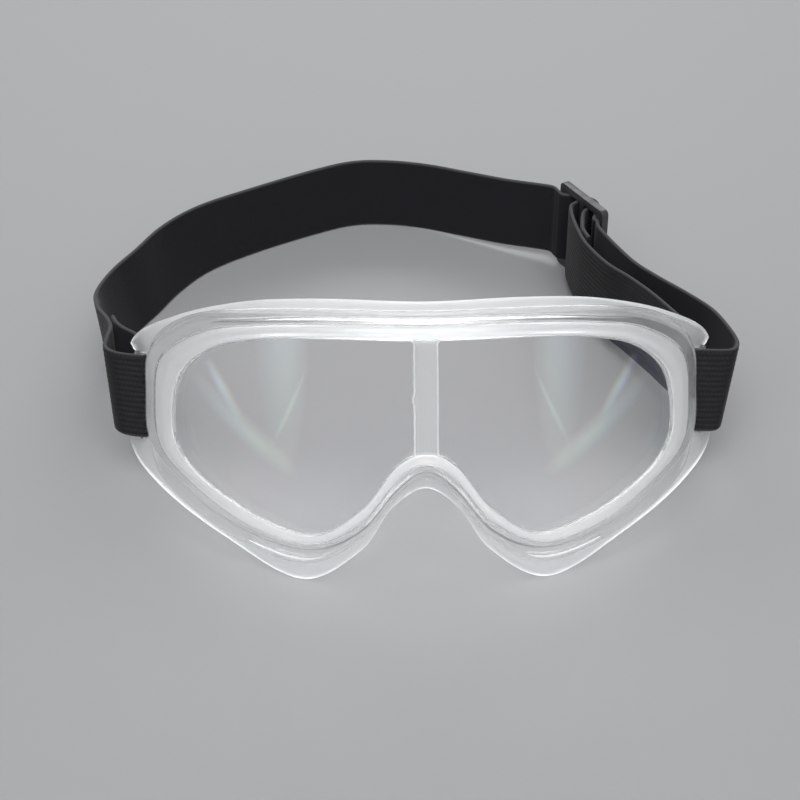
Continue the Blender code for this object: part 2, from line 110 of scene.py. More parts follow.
# The strip's left edge is trimmed by hand: slightly wavy, with one small burr.
RIPPLE_HEIGHT, RIPPLE_RATES = 0.06, (2.9, 1.3)
BURR_AT, BURR_SPREAD, BURR_HEIGHT = 14.8, 1.5, 0.4
SLOT_LOW, SLOT_HIGH, SLOT_ROUNDING = -2.8, 24.0, 1.0
SLOT_START, BAR_START, BAR_END, NOTCH_END = 1.0, 4.4, 9.4, 24.0
BAR_THICKNESS, BAR_ROOT, BAR_ROUNDING, BAR_ROOT_TAPER = 2.4, 1.5, 0.8, 0.5
NOTCH_HALF_DEPTH = 3.5
LOBE_REACH, LOBE_WIDTH, LOBE_HEIGHT, LOBE_ROUNDING = 9.0, 3.2, 3.6, 2.4
VENT_FROM_X, VENT_TO_X = 29.0, 51.0
VENT_HALF_HEIGHT, VENT_HALF_REACH, VENT_WALL_SHARE = 0.9, 4.0, 0.72
VENT_CORNERS = [(-1, -1), (1, -1), (1, 1), (-1, 1)]
VENT_END_HEIGHT, VENT_LIP_COLUMNS = 0.45, (1,)

LENS_HUB = np.array([0.0, 14.0])
LENS_RINGS = (1.0, 0.985, 0.95, 0.88, 0.76, 0.62, 0.48, 0.34, 0.2, 0.08)
LENS_EDGE_ROUNDING, LENS_EDGE_BULGE, LENS_SHARP_DEG = 0.25, 0.005, 30.0

# --- Head strap ------------------------------------------------------------------------------
STRAP_WIDTH, STRAP_THICKNESS = 28.0, 1.5
TEMPLE_BAR, GATHER, GATHER_REACH = (89.0, 56.0), 2.0, 26.0
STEPS_PER_STATION = 12
RIB_COUNT, SELVEDGE = 15, 0.9
RIB_HEIGHT, RIB_POINTS, INNER_POINTS = 0.22, 6, 28
WEBBING_SHARP_DEG = 70.0
# Painted highlight: both edges of the strap are coloured lighter than its body, standing in for light
# catching them.
EDGE_HIGHLIGHT_COLOUR = (0.05, 0.05, 0.055)
SEWN_STATIONS = 5
STITCH_COUNT, STITCH_MARGIN, STITCH_PITCH = 11, 2.4, 2.15
STITCH_LENGTH, STITCH_RADIUS = 1.75, 0.22
LEFT_STITCH_ROWS, BUCKLE_STITCH_ROWS = (5, 17, 29), (-5, -14)
BUCKLE_HEADING_DEG = -60.2
STRAP_LIFT = 3.0
BUCKLE_LENGTH, BUCKLE_HEIGHT, BUCKLE_THICKNESS = 26.0, 34.0, 2.6
BUCKLE_BAR, BUCKLE_RAIL = 2.4, 2.5
BUCKLE_CORNER, BUCKLE_SLOT_CORNER, BUCKLE_EDGE = 2.2, 0.7, 0.45
BUCKLE_BEVEL_DEG, BUCKLE_SHARP_DEG = 50.0, 40.0

# --- Camera and stage ------------------------------------------------------------------------
CAMERA_FROM_NOSE = np.array([-15.0, -425.0, 339.0])
CAMERA_AZIMUTH_DEG, CAMERA_ELEVATION_DEG = -1.0, 37.0
CAMERA_LENS, CAMERA_SENSOR = 85.5, 36.0
FLOOR_SIZE, FLOOR_GAP = 8.0, 0.2
COATING_IOR, COATING_LOW_NM, COATING_HIGH_NM = 1.38, 405.0, 335.0
MOULDING_SHADOW_TINT = (0.80, 0.81, 0.82)
LENS_SHADOW_TINT = (0.95, 0.955, 0.95)
FLOOR_COLOUR = (0.26, 0.263, 0.267)
WORLD_COLOUR, WORLD_STRENGTH = (0.80, 0.82, 0.85), 0.3
SUN_ELEVATION_DEG, SUN_SPREAD_DEG, SUN_STRENGTH = 62.0, 44.0, 1.8
# Soft rectangular lamps: place and size in metres, watts.
SOFTBOXES = {
    "softbox_front": ((0.0, -0.50, 0.64), (1.1, 0.58), 4.4),
    "softbox_back": ((0.0, 0.66, 0.46), (1.0, 0.24), 3.6),
}
# Long lamps mirrored in the lens: both ends and width in metres, watts. Each stands on the right
# and again on the left.
SIDE_LAMPS = {
    "glow": ((0.55, -0.62, 0.30), (0.55, -0.26, 0.18), 0.22, 0.5),
    "strip_low": ((0.33, -0.04, 0.008), (0.33, -0.37, 0.120), 0.016, 0.024),
    "strip_mid": ((0.33, -0.07, 0.034), (0.33, -0.185, 0.061), 0.010, 0.008),
    "strip_high": ((0.33, -0.39, 0.192), (0.33, -0.26, 0.082), 0.006, 0.004),
}


def nose_point():
    """The middle of the nose arch on the lens opening, in millimetres, from the CAD body's box."""
    low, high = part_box("frame")
    x = 0.5 * (low.x + high.x) / MM
    return np.array([x, low.y / MM + NOSE_BEHIND_FRONT, high.z / MM - NOSE_BELOW_TOP])


def buckle_foot():
    """The middle of the buckle's lower rail, in millimetres, from the CAD buckle's box."""
    low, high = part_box("slider")
    return np.array([0.5 * (low.x + high.x), 0.5 * (low.y + high.y), low.z]) / MM


NOSE_POINT = nose_point()
BUCKLE_FOOT = buckle_foot()


def unit(vector):
    return vector / np.linalg.norm(vector)


def catmull(p0, p1, p2, p3, t):
    return 0.5 * (2 * p1 + (p2 - p0) * t + (2 * p0 - 5 * p1 + 4 * p2 - p3) * t * t
                  + (3 * p1 - p0 - 3 * p2 + p3) * t ** 3)


def smooth_closed(points, steps):
    """Catmull-Rom curve through a closed ring of points."""
    points = np.asarray(points, float)
    count = len(points)
    out = []
    for i in range(count):
        p0, p1, p2, p3 = (points[(i + k) % count] for k in (-1, 0, 1, 2))
        out += [catmull(p0, p1, p2, p3, s / steps) for s in range(steps)]
    return np.array(out)


def smooth_open(points, steps):
    """Catmull-Rom curve through an open run of points."""
    points = np.asarray(points, float)
    padded = np.vstack([2 * points[0] - points[1], points, 2 * points[-1] - points[-2]])
    out = []
    for i in range(len(points) - 1):
        out += [catmull(*padded[i:i + 4], s / steps) for s in range(steps)]
    return np.array(out + [points[-1]])


def rounded(points, radii, steps):
    """A closed outline with each corner rounded; every corner gives steps + 1 points."""
    points = [np.asarray(p, float) for p in points]
    out = []
    for i, corner in enumerate(points):
        back, ahead = points[i - 1] - corner, points[(i + 1) % len(points)] - corner
        reach_back = min(radii[i], 0.45 * np.linalg.norm(back))
        reach_ahead = min(radii[i], 0.45 * np.linalg.norm(ahead))
        start = corner + reach_back * unit(back)
        end = corner + reach_ahead * unit(ahead)
        for t in np.linspace(0.0, 1.0, steps + 1):
            out.append((1 - t) ** 2 * start + 2 * t * (1 - t) * corner + t * t * end)
    return out


def to_world(point):
    """Goggle body axes (x, v, w) to the model's axes, in millimetres."""
    lean = math.radians(LEAN_DEG)
    up = np.array([0.0, math.sin(lean), math.cos(lean)])
    back = np.array([0.0, math.cos(lean), -math.sin(lean)])
    return NOSE_POINT + np.array([point[0], 0.0, 0.0]) + point[1] * up + point[2] * back


def on_lens(x, v, depth):
    """A point at a depth behind the lens cylinder's front face."""
    radius = LENS_RADIUS - depth
    return np.array([x, v, LENS_RADIUS - math.sqrt(radius * radius - x * x)])


def behind(x, v, depth, loss, reach):
    """A point behind the lens cylinder, at a depth that shrinks towards the temples."""
    return on_lens(x, v, 0.0) + np.array([0.0, 0.0, depth - loss * (x / reach) ** 2])


def rails():
    """The four outlines as smooth closed rings with matching stations."""
    rings = []
    for column in range(4):
        right = [row[column] for row in HALF_OUTLINES]
        left = [(-x, v) for x, v in right[-2:0:-1]]
        rings.append(smooth_closed(right + left, STATIONS_PER_SPAN))
    return rings


def flange_points(root, edge):
    root_3d = behind(root[0], root[1], WALL_DEPTH, WALL_DEPTH_LOSS, TEMPLE_X)
    edge_3d = behind(edge[0], edge[1], FLANGE_DEPTH, FLANGE_DEPTH_LOSS, FLANGE_X)
    return root_3d, edge_3d


def moulding_section(opening, corner, root, edge, tangent):
    """One closed, rounded cross-section of the moulding, in goggle body axes."""
    def rim(share, depth):
        x, v = opening + share * (corner - opening)
        return on_lens(x, v, depth)

    front = [rim(share, depth) for share, depth, _ in FRONT_PROFILE]
    root_3d, edge_3d = flange_points(root, edge)
    wall_way = unit(root_3d - front[-1])
    flange_way = unit(edge_3d - root_3d)
    wall_in = unit(np.cross(tangent, wall_way))
    flange_in = unit(np.cross(tangent, flange_way))
    middle = 0.5 * (front[-1] + root_3d)
    root_in = root_3d + WALL * unit(wall_in + flange_in)
    edge_in = edge_3d + FLANGE_THICKNESS * flange_in
    inner = [rim(share, depth) for share, depth, _ in INNER_PROFILE]
    corners = front + [middle, root_3d, edge_3d, edge_in, root_in] + inner
    radii = ([row[2] for row in FRONT_PROFILE] + list(WALL_ROUNDINGS)
             + [row[2] for row in INNER_PROFILE])
    return rounded(corners, radii, ROUND_STEPS)


def moulding_sections():
    opening, corner, root, edge = rails()
    count = len(opening)
    sections = []
    for i in range(count):
        ahead, before = root[(i + 1) % count], root[i - 1]
        tangent = unit(np.append(ahead - before, 0.0))
        section = moulding_section(opening[i], corner[i], root[i], edge[i], tangent)
        sections.append([to_world(point) for point in section])
    return sections


# --- Mesh helpers ----------------------------------------------------------------------------
def loft(sections, closed):
    """Vertices and faces of a body lofted through equal closed sections."""
    size = len(sections[0])
    vertices = [point for section in sections for point in section]
    spans = len(sections) if closed else len(sections) - 1
    faces = []
    for i in range(spans):
        a, b = i * size, ((i + 1) % len(sections)) * size
        faces += [(a + k, a + (k + 1) % size, b + (k + 1) % size, b + k) for k in range(size)]
    if not closed:
        last = (len(sections) - 1) * size
        faces += [tuple(range(size)), tuple(last + k for k in reversed(range(size)))]
    return vertices, faces


def mesh_object(name, vertices, faces, *materials):
    """A smooth-shaded mesh object from points in millimetres in the model's axes."""
    mesh = bpy.data.meshes.new(name)
    mesh.from_pydata([tuple(MM * np.asarray(v)) for v in vertices], [], faces)
    mesh.update()
    work = bmesh.new()
    work.from_mesh(mesh)
    bmesh.ops.recalc_face_normals(work, faces=work.faces)
    work.to_mesh(mesh)
    work.free()
    for material in materials:
        mesh.materials.append(material)
    mesh.shade_smooth()
    obj = bpy.data.objects.new(name, mesh)
    bpy.context.scene.collection.objects.link(obj)
    return obj


def apply_modifiers(obj, sharp_deg):
    """Replace the object's mesh with its modified one, and drop the modifiers."""
    graph = bpy.context.evaluated_depsgraph_get()
    mesh = bpy.data.meshes.new_from_object(obj.evaluated_get(graph))
    obj.modifiers.clear()
    obj.data = mesh
    mesh.shade_smooth()
    mesh.set_sharp_from_angle(angle=math.radians(sharp_deg))


def boolean(target, tools, operation):
    """Cut or join closed tool bodies, one modifier each."""
    for tool in tools:
        modifier = target.modifiers.new(tool.name, "BOOLEAN")
        modifier.operation = operation
        modifier.solver = "MANIFOLD"
        modifier.object = tool


def keep(piece, body, slot, *nodes):
    """Attach the piece to the body it rides on and hide the CAD nodes it stands for; the slot is not
    used.
    """
    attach(piece, body)
    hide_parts(*nodes)
    return piece


# --- Materials -------------------------------------------------------------------------------
def principled(name, **sockets):
    """A Principled material with constant values on the shader's own sockets."""
    material = bpy.data.materials.new(name)
    material.use_nodes = True
    shader = material.node_tree.nodes["Principled BSDF"]
    for key, value in sockets.items():
        shader.inputs[key.replace("_", " ")].default_value = value
    return material, material.node_tree, shader


def noise(tree, scale, detail, roughness=0.5):
    place = tree.nodes.new("ShaderNodeTexCoord")
    texture = tree.nodes.new("ShaderNodeTexNoise")
    texture.inputs["Scale"].default_value = scale
    texture.inputs["Detail"].default_value = detail
    texture.inputs["Roughness"].default_value = roughness
    tree.links.new(place.outputs["Object"], texture.inputs["Vector"])
    return texture.outputs["Fac"]


def remap(tree, value, low, high, from_low=0.3, from_high=0.7):
    node = tree.nodes.new("ShaderNodeMapRange")
    node.inputs["From Min"].default_value = from_low
    node.inputs["From Max"].default_value = from_high
    node.inputs["To Min"].default_value = low
    node.inputs["To Max"].default_value = high
    tree.links.new(value, node.inputs["Value"])
    return node.outputs["Result"]


def maths(tree, operation, first, second=None):
    node = tree.nodes.new("ShaderNodeMath")
    node.operation = operation
    for socket, value in zip(node.inputs, (first, second)):
        if isinstance(value, (int, float)):
            socket.default_value = value
        elif value is not None:
            tree.links.new(value, socket)
    return node.outputs["Value"]


def bump(tree, shader, height, distance_mm, strength=1.0):
    node = tree.nodes.new("ShaderNodeBump")
    node.inputs["Distance"].default_value = distance_mm * MM
    node.inputs["Strength"].default_value = strength
    tree.links.new(height, node.inputs["Height"])
    tree.links.new(node.outputs["Normal"], shader.inputs["Normal"])


def mix_colours(tree, share, first, second):
    node = tree.nodes.new("ShaderNodeMix")
    node.data_type = "RGBA"
    node.inputs["A"].default_value = (*first, 1.0)
    node.inputs["B"].default_value = (*second, 1.0)
    tree.links.new(share, node.inputs["Factor"])
    return node.outputs["Result"]


def lets_lamps_through(tree, shader, tint):
    """Let a lamp's light through a clear body, tinted, in place of a dense shadow."""
    clear = tree.nodes.new("ShaderNodeBsdfTransparent")
    clear.inputs["Color"].default_value = (*tint, 1.0)
    ray = tree.nodes.new("ShaderNodeLightPath")
    mix = tree.nodes.new("ShaderNodeMixShader")
    tree.links.new(ray.outputs["Is Shadow Ray"], mix.inputs["Fac"])
    tree.links.new(shader.outputs["BSDF"], mix.inputs[1])
    tree.links.new(clear.outputs["BSDF"], mix.inputs[2])
    output = tree.nodes["Material Output"]
    tree.links.new(mix.outputs["Shader"], output.inputs["Surface"])


def clear_moulding():
    """Soft clear vinyl: satin, a little milky, with a faint moulded ripple."""
    material, tree, shader = principled(
        "clear_soft_moulding", IOR=1.53, Transmission_Weight=0.93, Coat_Weight=0.5,
        Coat_Roughness=0.12, Coat_IOR=1.6)
    cloud = noise(tree, scale=55.0, detail=3.0)
    tree.links.new(mix_colours(tree, cloud, (0.95, 0.96, 0.965), (0.985, 0.99, 0.99)),
                   shader.inputs["Base Color"])
    smears = noise(tree, scale=60.0, detail=3.0)
    tree.links.new(remap(tree, smears, low=0.13, high=0.22), shader.inputs["Roughness"])
    ripple = noise(tree, scale=90.0, detail=1.0)
    bump(tree, shader, ripple, distance_mm=0.06, strength=0.15)
    lets_lamps_through(tree, shader, MOULDING_SHADOW_TINT)
    return material


def frosted_edge():
    """The same vinyl where it is cut or trimmed: a finely torn, whitish edge."""
    material, tree, shader = principled(
        "clear_soft_moulding_edge", IOR=1.53, Transmission_Weight=0.6)
    torn = noise(tree, scale=900.0, detail=4.0, roughness=0.6)
    tree.links.new(mix_colours(tree, torn, (0.86, 0.87, 0.88), (0.97, 0.975, 0.98)),
                   shader.inputs["Base Color"])
    tree.links.new(remap(tree, torn, low=0.28, high=0.5), shader.inputs["Roughness"])
    bump(tree, shader, torn, distance_mm=0.05, strength=0.5)
    lets_lamps_through(tree, shader, MOULDING_SHADOW_TINT)
    return material


def satin_flange():
    """The same vinyl on the front of the flange, where the mould's surface is matt."""
    material, tree, shader = principled(
        "clear_soft_moulding_satin", IOR=1.53, Transmission_Weight=0.72)
    cloud = noise(tree, scale=70.0, detail=4.0)
    tree.links.new(mix_colours(tree, cloud, (0.90, 0.91, 0.92), (0.98, 0.985, 0.985)),
                   shader.inputs["Base Color"])
    tree.links.new(remap(tree, cloud, low=0.3, high=0.36), shader.inputs["Roughness"])
    lets_lamps_through(tree, shader, MOULDING_SHADOW_TINT)
    return material


def clear_lens():
    """Hard polished lens with a thin coating that tints what it mirrors, and a little dust."""
    material, tree, shader = principled(
        "clear_hard_lens", IOR=1.58, Transmission_Weight=1.0)
    shader.inputs["Thin Film IOR"].default_value = COATING_IOR
    place = tree.nodes.new("ShaderNodeTexCoord")
    split = tree.nodes.new("ShaderNodeSeparateXYZ")
    tree.links.new(place.outputs["Object"], split.inputs["Vector"])
    coating = remap(tree, split.outputs["Z"], low=COATING_LOW_NM, high=COATING_HIGH_NM,
                    from_low=0.02, from_high=0.075)
    tree.links.new(coating, shader.inputs["Thin Film Thickness"])
    dust = noise(tree, scale=900.0, detail=5.0, roughness=0.7)
    tree.links.new(mix_colours(tree, dust, (0.985, 0.985, 0.985), (1.0, 1.0, 1.0)),
                   shader.inputs["Base Color"])
    dull = remap(tree, dust, low=0.0, high=0.03, from_low=0.45, from_high=0.75)
    tree.links.new(dull, shader.inputs["Roughness"])
    lets_lamps_through(tree, shader, LENS_SHADOW_TINT)
    return material


def webbing_place(tree):
    """Distance along the strap and across it, in millimetres, from the strap's own map."""
    place = tree.nodes.new("ShaderNodeUVMap")
    place.uv_map = "webbing"
    split = tree.nodes.new("ShaderNodeSeparateXYZ")
    tree.links.new(place.outputs["UV"], split.inputs["Vector"])
    return place.outputs["UV"], split.outputs["X"], split.outputs["Y"]


def webbing(name, dark, light, pick_pitch, row_pitch, depth_mm):
    """Black woven elastic: picks across the strap, staggered from row to row, and lint, with a
    painted highlight along both edges.
    """
    material, tree, shader = principled(name, IOR=1.45)
    shader.inputs["Sheen Weight"].default_value = 0.08
    shader.inputs["Sheen Roughness"].default_value = 0.4
    shader.inputs["Specular IOR Level"].default_value = 0.3
    place, along, across = webbing_place(tree)
    row = maths(tree, "FLOOR", maths(tree, "DIVIDE", across, row_pitch))
    shift = maths(tree, "MULTIPLY", row, math.pi)
    phase = maths(tree, "ADD", maths(tree, "MULTIPLY", along, 2 * math.pi / pick_pitch), shift)
    picks = maths(tree, "MULTIPLY_ADD", maths(tree, "SINE", phase), 0.5)
    picks.node.inputs[2].default_value = 0.5
    wave = maths(tree, "SINE", maths(tree, "MULTIPLY", across, 2 * math.pi / row_pitch))
    yarn = maths(tree, "MULTIPLY_ADD", wave, 0.5)
    yarn.node.inputs[2].default_value = 0.5
    lint = tree.nodes.new("ShaderNodeTexNoise")
    lint.inputs["Scale"].default_value = 1.7
    lint.inputs["Detail"].default_value = 6.0
    lint.inputs["Roughness"].default_value = 0.7
    tree.links.new(place, lint.inputs["Vector"])
    weave = maths(tree, "MULTIPLY", picks, yarn)
    tone = maths(tree, "ADD", maths(tree, "MULTIPLY", weave, 0.3),
                 maths(tree, "MULTIPLY", lint.outputs["Fac"], 0.5))
    # Painted highlight: the outer strip on each side blends to a lighter colour, standing in for
    # light catching the strap's edges.
    off_middle = maths(tree, "ABSOLUTE", maths(tree, "SUBTRACT", across, 0.5 * STRAP_WIDTH))
    edge = remap(tree, off_middle, low=0.0, high=1.0,
                 from_low=0.5 * STRAP_WIDTH - SELVEDGE, from_high=0.5 * STRAP_WIDTH)
    body = mix_colours(tree, tone, dark, light)
    colour = mix_colours(tree, edge, dark, EDGE_HIGHLIGHT_COLOUR)
    tree.links.new(body, colour.node.inputs["A"])
    tree.links.new(colour, shader.inputs["Base Color"])
    dull = remap(tree, lint.outputs["Fac"], low=0.72, high=0.95)
    tree.links.new(dull, shader.inputs["Roughness"])
    height = maths(tree, "ADD", weave, maths(tree, "MULTIPLY", lint.outputs["Fac"], 0.35))
    bump(tree, shader, height, depth_mm, strength=0.5)
    return material


def thread():
    """Twisted black sewing thread."""
    material, tree, shader = principled("sewing_thread", IOR=1.45)
    shader.inputs["Sheen Weight"].default_value = 0.3
    twist = noise(tree, scale=4000.0, detail=2.0)
    tree.links.new(mix_colours(tree, twist, (0.012, 0.012, 0.014), (0.05, 0.05, 0.055)),
                   shader.inputs["Base Color"])
    tree.links.new(remap(tree, twist, low=0.5, high=0.8), shader.inputs["Roughness"])
    bump(tree, shader, twist, distance_mm=0.05)
    return material


def buckle_plastic():
    """Satin dark grey moulded plastic with a fine spark-eroded grain."""
    material, tree, shader = principled("buckle_plastic", IOR=1.5)
    grain = noise(tree, scale=5200.0, detail=3.0, roughness=0.6)
    wear = noise(tree, scale=260.0, detail=4.0)
    tree.links.new(mix_colours(tree, wear, (0.02, 0.02, 0.022), (0.045, 0.045, 0.048)),
                   shader.inputs["Base Color"])
    tree.links.new(remap(tree, wear, low=0.3, high=0.48), shader.inputs["Roughness"])
    bump(tree, shader, grain, distance_mm=0.02, strength=0.5)
    return material


# --- Moulding and lens -----------------------------------------------------------------------
def temple_axes(side):
    """Flange root, direction along the flange, and direction through it, at one temple."""
    root_3d, edge_3d = flange_points(*HALF_OUTLINES[TEMPLE_ROW][2:])
    mirror = np.array([side, 1.0, 1.0])
    along = unit((edge_3d - root_3d) * mirror * np.array([1.0, 0.0, 1.0]))
    through = unit(np.array([-side * along[2], 0.0, side * along[0]]))
    return root_3d * mirror, along, through


def notch_tool(name, side):
    """The slot and open notch at one temple, with the upper tip rounded off into a lobe."""
    root_3d, along, through = temple_axes(side)
    corners = [(SLOT_START, SLOT_LOW), (NOTCH_END, SLOT_LOW), (NOTCH_END, SLOT_HIGH + LOBE_HEIGHT),
               (LOBE_REACH + LOBE_WIDTH, SLOT_HIGH + LOBE_HEIGHT), (LOBE_REACH, SLOT_HIGH),
               (SLOT_START, SLOT_HIGH)]
    radii = [SLOT_ROUNDING] * 4 + [LOBE_ROUNDING, SLOT_ROUNDING]
    outline = rounded(corners, radii, 6)
    sections = []
    for offset in (-NOTCH_HALF_DEPTH, NOTCH_HALF_DEPTH):
        section = []
        for reach, v in outline:
            point = root_3d + along * reach + through * (0.5 * FLANGE_THICKNESS + offset)
            point[1] = v
            section.append(to_world(point))
        sections.append(section)
    return mesh_object(name, *loft(sections, False))


def strap_bar(name, side):
    """The rounded upright bar that the strap loops round, rooted in the flange at both ends."""
    root_3d, along, through = temple_axes(side)
    half, reach = 0.5 * BAR_THICKNESS, 0.5 * (BAR_END - BAR_START)
    middle = 0.5 * (BAR_START + BAR_END)
    corners = [(-reach, -half), (reach, -half), (reach, half), (-reach, half)]
    sections = []
    levels = [SLOT_LOW - BAR_ROOT, SLOT_LOW - 0.3 * BAR_ROOT, SLOT_LOW + 0.4, SLOT_LOW + 1.2,
              SLOT_HIGH - 1.2, SLOT_HIGH - 0.4, SLOT_HIGH + 0.3 * BAR_ROOT, SLOT_HIGH + BAR_ROOT]
    for v in levels:
        buried = max(SLOT_LOW - v, v - SLOT_HIGH, 0.0) / BAR_ROOT
        slim = 1.0 - BAR_ROOT_TAPER * min(2.0 * buried, 1.0)
        outline = rounded([(a * slim, b * slim) for a, b in corners], [BAR_ROUNDING * slim] * 4, 4)
        section = []
        for a, b in outline:
            point = root_3d + along * (middle + a) + through * (0.5 * FLANGE_THICKNESS + b)
            point[1] = v
            section.append(to_world(point))
        sections.append(section)
    return mesh_object(name, *loft(sections, False))


def trimmed_edge(v):
    """How far the strip's left edge stands out at a height: a fine ripple and a small burr."""
    burr = BURR_HEIGHT * math.exp(-((v - BURR_AT) / BURR_SPREAD) ** 2)
    ripple = RIPPLE_HEIGHT * math.prod(math.sin(rate * v) for rate in RIPPLE_RATES)
    return burr + ripple


def centre_strip():
    """The upright strip down the middle of the lens, flared a little where it meets the brow."""
    half_depth = 0.5 * (STRIP_BACK - STRIP_FRONT)
    middle = 0.5 * (STRIP_BACK + STRIP_FRONT)
    sections = []
    flare_start = STRIP_VISIBLE_HIGH - STRIP_FLARE_LENGTH
    levels = [*np.linspace(STRIP_LOW, flare_start, STRIP_LEVELS),
              *np.linspace(flare_start + FLARE_STEP, STRIP_HIGH, FLARE_LEVELS)]
    for v in levels:
        rise = min(max((v - flare_start) / STRIP_FLARE_LENGTH, 0.0), 1.0)
        half = STRIP_HALF_WIDTH + STRIP_FLARE * rise ** 3
        left = half + trimmed_edge(v)
        corners = [(-left, -half_depth), (half, -half_depth), (half, half_depth), (-left, half_depth)]
        outline = rounded(corners, [STRIP_ROUNDING] * 4, STRIP_ROUND_STEPS)
        sections.append([to_world((x, v, middle + w)) for x, w in outline])
    strip = mesh_object("tool_strip", *loft(sections, False))
    return frost(strip, STRIP_EDGE_COLUMNS, len(sections[0]))


def vent_slit(name, side):
    """A slit along the lower wall, following its curve, with tapered ends."""
    corner, root, edge = rails()[1:]
    rows = [i for i in range(len(corner))
            if corner[i][1] < 0 and VENT_FROM_X <= side * corner[i][0] <= VENT_TO_X]
    sections = []
    for place, i in enumerate(rows):
        x, v = corner[i]
        start = on_lens(x, v, FRONT_PROFILE[-1][1])
        root_3d = flange_points(root[i], edge[i])[0]
        way = unit(root_3d - start)
        tangent = unit(np.append(root[i - 1] - root[(i + 1) % len(root)], 0.0))
        normal = unit(np.cross(tangent, way))
        middle = start + VENT_WALL_SHARE * (root_3d - start)
        share = place / (len(rows) - 1)
        taper = VENT_END_HEIGHT + (1.0 - VENT_END_HEIGHT) * math.sin(math.pi * share) ** 0.5
        sections.append([to_world(middle + a * taper * VENT_HALF_HEIGHT * way
                                  + b * VENT_HALF_REACH * normal) for a, b in VENT_CORNERS])
    return frost(mesh_object(name, *loft(sections, False)), VENT_LIP_COLUMNS, len(VENT_CORNERS))


def frost(obj, columns=(0,), size=1, finish=EDGE_FINISH):
    """Give these columns of a loft's faces another finish; without columns, every face."""
    for polygon in obj.data.polygons:
        if polygon.index % size in columns:
            polygon.material_index = finish
    return obj


def make_moulding():
    sections = moulding_sections()
    moulding = mesh_object("moulding", *loft(sections, True), clear_moulding(), frosted_edge(),
                           satin_flange())
    frost(moulding, FLANGE_EDGE_COLUMNS, len(sections[0]))
    frost(moulding, LIP_COLUMNS + FLANGE_FRONT_COLUMNS, len(sections[0]), SATIN_FINISH)
    cuts = []
    joins = [centre_strip()]
    for side, label in ((-1, "left"), (1, "right")):
        cuts.append(frost(notch_tool(f"tool_notch_{label}", side)))
        cuts.append(vent_slit(f"tool_vent_{label}", side))
        joins.append(strap_bar(f"tool_bar_{label}", side))
    boolean(moulding, cuts, "DIFFERENCE")
    boolean(moulding, joins, "UNION")
    apply_modifiers(moulding, SHARP_DEG)
    for tool in cuts + joins:
        bpy.data.objects.remove(tool)
    return keep(moulding, "goggle_body", "clear_soft_moulding", "frame")


def polish(mesh, vertices, layers, count):
    """Give the lens's two faces the true normals of their cylinders."""
    mesh.set_sharp_from_angle(angle=math.radians(LENS_SHARP_DEG))
    axis = to_world((0.0, 1.0, 0.0)) - to_world((0.0, 0.0, 0.0))
    hub = to_world((0.0, 0.0, LENS_RADIUS))
    faces = [-1] + [0] * (len(layers) * count) + [1]
    for layer, (depth, scale) in enumerate(layers):
        way = {LENS_FRONT: -1, LENS_BACK: 1}.get(depth, 0)
        if scale < LENS_RINGS[0]:
            faces[1 + layer * count:1 + (layer + 1) * count] = [way] * count
    normals = []
    for point, way in zip(vertices, faces):
        inward = hub - point
        inward = unit(inward - axis * np.dot(inward, axis))
        normals.append(tuple(way * inward))
    mesh.normals_split_custom_set_from_vertices(normals)


def make_lens():
    """A curved plate with a softened edge that sits in the moulding's groove."""
    opening, corner = rails()[:2]
    outline = opening + LENS_REACH * (corner - opening)
    count = len(outline)
    soft = LENS_EDGE_ROUNDING
    layers = [(LENS_FRONT, scale) for scale in reversed(LENS_RINGS)]
    layers.append((LENS_FRONT + soft, 1.0 + LENS_EDGE_BULGE))
    layers.append((LENS_BACK - soft, 1.0 + LENS_EDGE_BULGE))
    layers += [(LENS_BACK, scale) for scale in LENS_RINGS]
    vertices = [to_world(on_lens(*LENS_HUB, LENS_FRONT))]
    for depth, scale in layers:
        ring = LENS_HUB + scale * (outline - LENS_HUB)
        vertices += [to_world(on_lens(*point, depth)) for point in ring]
    vertices.append(to_world(on_lens(*LENS_HUB, LENS_BACK)))
    last = len(vertices) - 1
    faces = []
    for k in range(count):
        ahead = (k + 1) % count
        faces.append((0, 1 + ahead, 1 + k))
        for layer in range(len(layers) - 1):
            a, b = 1 + layer * count, 1 + (layer + 1) * count
            faces.append((a + k, a + ahead, b + ahead, b + k))
        end = 1 + (len(layers) - 1) * count
        faces.append((end + k, end + ahead, last))
    lens = mesh_object("lens_plate", vertices, faces, clear_lens())
    polish(lens.data, vertices, layers, count)
    return keep(lens, "goggle_body", "clear_hard_lens", "lens")


# --- Strap -----------------------------------------------------------------------------------
def temple_station(side, along_mm, through_mm, flare):
    """A strap station beside a temple bar: distance along and through the flange."""
    root_3d, along, through = temple_axes(side)
    point = root_3d + along * along_mm + through * (through_mm + 0.5 * FLANGE_THICKNESS)
    point[1] = 0.5 * (SLOT_LOW + SLOT_HIGH)
    x, y, z = to_world(point) - NOSE_POINT + np.array([0.0, 0.0, NOSE_POINT[2]])
    half_width = 0.5 * strap_width(x, y)
    return x, y, z - half_width * math.cos(math.radians(LEAN_DEG)), LEAN_DEG, flare


def round_temple_bar(side, flare):
    """The strap's way in through a temple's slot and round its bar."""
    slot_middle = 0.5 * (SLOT_START + BAR_START)
    return [
        temple_station(side, slot_middle, -2.6, flare),
        temple_station(side, slot_middle, 0.0, 0.0),
        temple_station(side, 3.6, 3.2, 0.0),
        temple_station(side, 7.2, 4.4, 0.0),
    ]


def slider_station(along_mm, outward_mm):
    """A strap station beside the buckle: distance along it, and out from its middle."""
    heading = math.radians(BUCKLE_HEADING_DEG)
    along = np.array([math.cos(heading), math.sin(heading)])
    outward = np.array([-along[1], along[0]])
    x, y = (BUCKLE_FOOT - NOSE_POINT)[:2] + along_mm * along + outward_mm * outward
    return x, y, STRAP_LIFT, 0.0, 0.0


